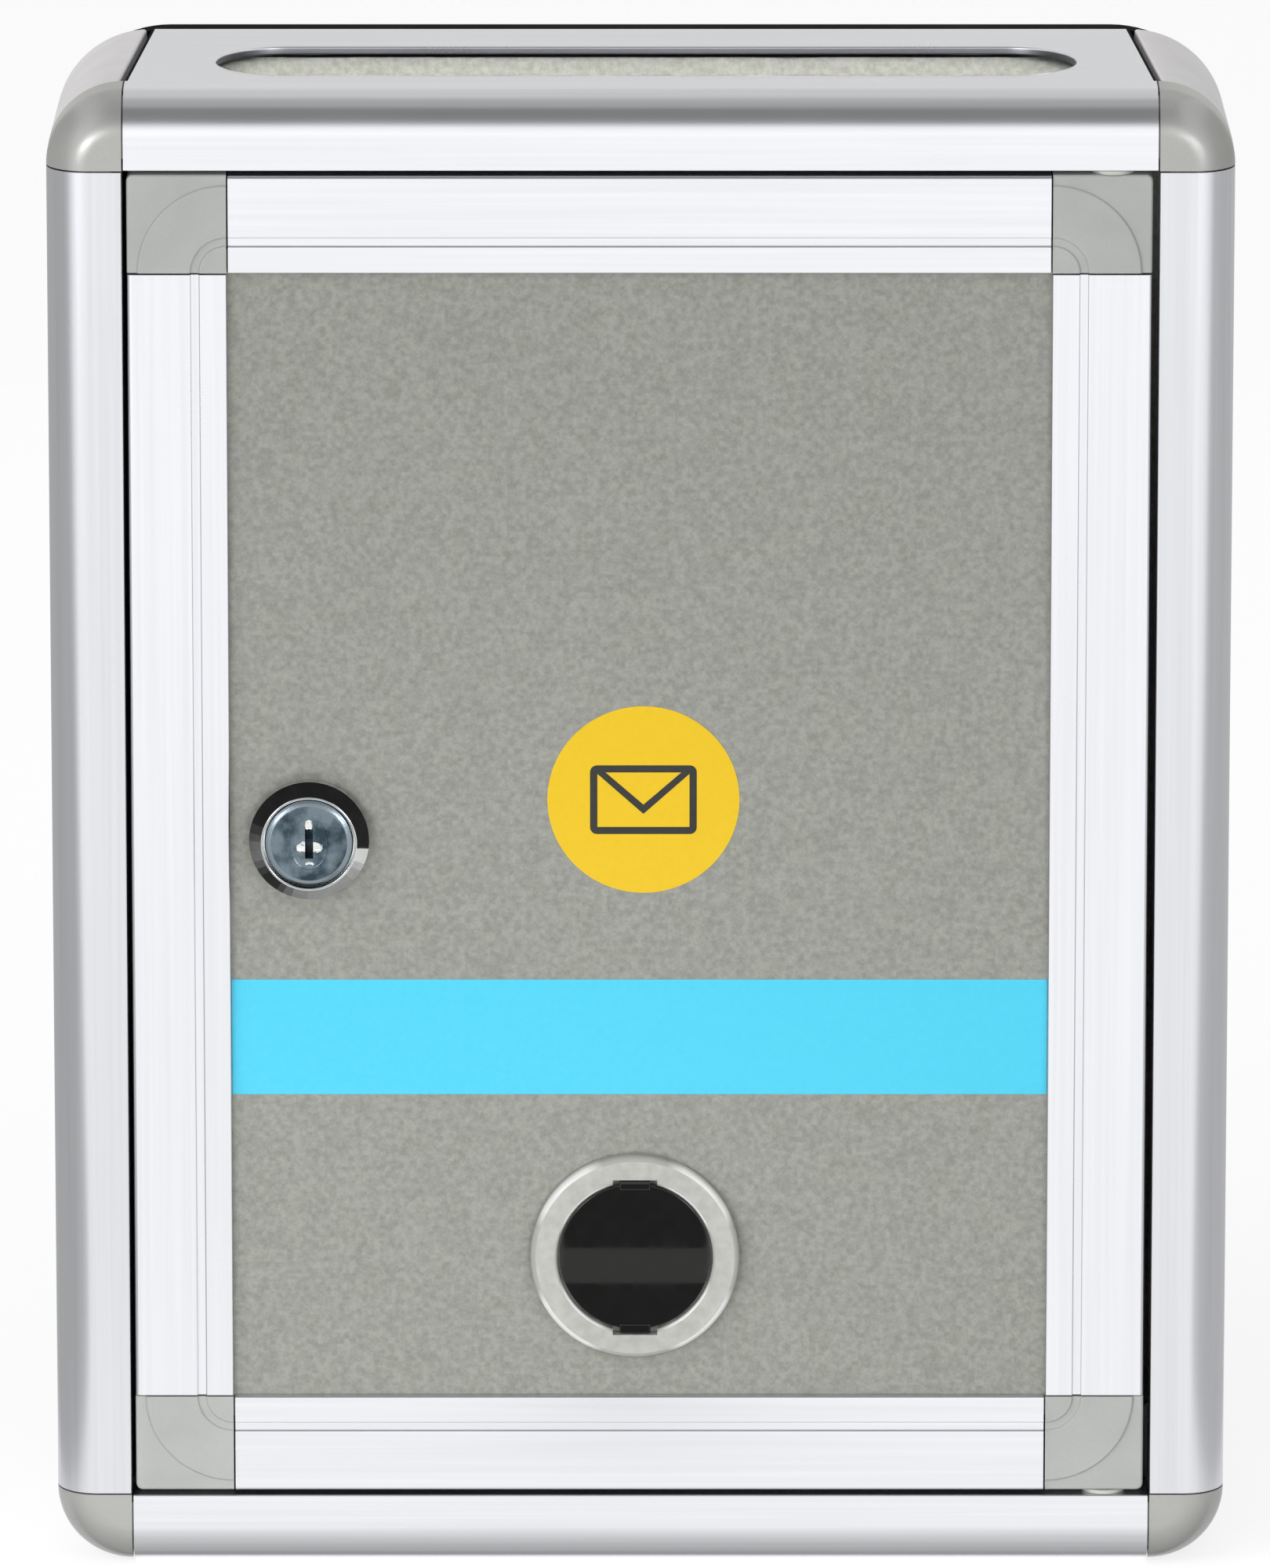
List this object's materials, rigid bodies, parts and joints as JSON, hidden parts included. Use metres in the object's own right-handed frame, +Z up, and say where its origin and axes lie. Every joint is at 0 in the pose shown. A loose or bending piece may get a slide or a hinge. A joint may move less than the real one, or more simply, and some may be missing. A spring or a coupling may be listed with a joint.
{
  "type": "suggestion box",
  "caption": "Wall-hung suggestion box of aluminium profiles and plastic corners, with a top slot and a framed, locking, side-hinged door with a round window.",
  "frame": {"origin": "middle of the underside of the whole box, at the middle of its depth with the lock's head", "axes": "+X to the right seen from the front, +Y back towards the wall, +Z up; the door faces -Y"},
  "size_m": [0.21, 0.068, 0.27],
  "materials": {
    "anodised_aluminium": "satin anodised",
    "grey_cap_plastic": "matte moulded",
    "pale_strip_plastic": "satin moulded",
    "grey_block_plastic": "matte moulded",
    "grey_door_sheet": "speckled powder coat",
    "grey_back_sheet": "powder coat",
    "black_trim_plastic": "matte moulded",
    "zinc_plated_steel": "zinc plated",
    "pale_nylon": "natural nylon",
    "clear_acrylic": "clear moulded",
    "smoked_acrylic": "dark, polished",
    "chrome": "polished"
  },
  "bodies": {
    "case": {"rail_top": "anodised_aluminium", "rail_bottom": "anodised_aluminium", "rail_left": "anodised_aluminium", "rail_right": "anodised_aluminium", "corner_cap_top_left": "grey_cap_plastic", "corner_strip_top_left": "pale_strip_plastic", "back_screw_top_left": "zinc_plated_steel", "corner_cap_top_right": "grey_cap_plastic", "corner_strip_top_right": "pale_strip_plastic", "back_screw_top_right": "zinc_plated_steel", "corner_cap_bottom_right": "grey_cap_plastic", "corner_strip_bottom_right": "pale_strip_plastic", "back_screw_bottom_right": "zinc_plated_steel", "corner_cap_bottom_left": "grey_cap_plastic", "corner_strip_bottom_left": "pale_strip_plastic", "back_screw_bottom_left": "zinc_plated_steel", "back_panel": "grey_back_sheet", "back_trim": "black_trim_plastic", "hinge_pin_top": "zinc_plated_steel", "hinge_pin_bottom": "zinc_plated_steel"},
    "door": {"door_rail_top": "anodised_aluminium", "door_rail_bottom": "anodised_aluminium", "door_rail_left": "anodised_aluminium", "door_rail_right": "anodised_aluminium", "door_corner_top_left": "grey_block_plastic", "door_corner_top_right": "grey_block_plastic", "door_corner_bottom_right": "grey_block_plastic", "door_corner_bottom_left": "grey_block_plastic", "door_panel": "grey_door_sheet", "hinge_bush_top": "pale_nylon", "hinge_bush_bottom": "pale_nylon", "window_bezel": "clear_acrylic", "window_lens": "smoked_acrylic", "window_retainer": "black_trim_plastic", "lock_body": "chrome", "lock_washer": "zinc_plated_steel", "lock_nut": "zinc_plated_steel"},
    "lock": {"lock_plug": "chrome", "lock_cam": "zinc_plated_steel", "cam_screw": "zinc_plated_steel"}
  },
  "joints": [
    {"name": "door_hinge", "type": "hinge", "parent": "case", "child": "door", "pos_m": [0.0833, -0.027, 0.135], "axis": [0, 0, 1], "range_deg": [0, 110]},
    {"name": "lock_turn", "type": "hinge", "parent": "door", "child": "lock", "pos_m": [-0.059, -0.031, 0.135], "axis": [0, 1, 0], "range_deg": [0, 90]}
  ]
}
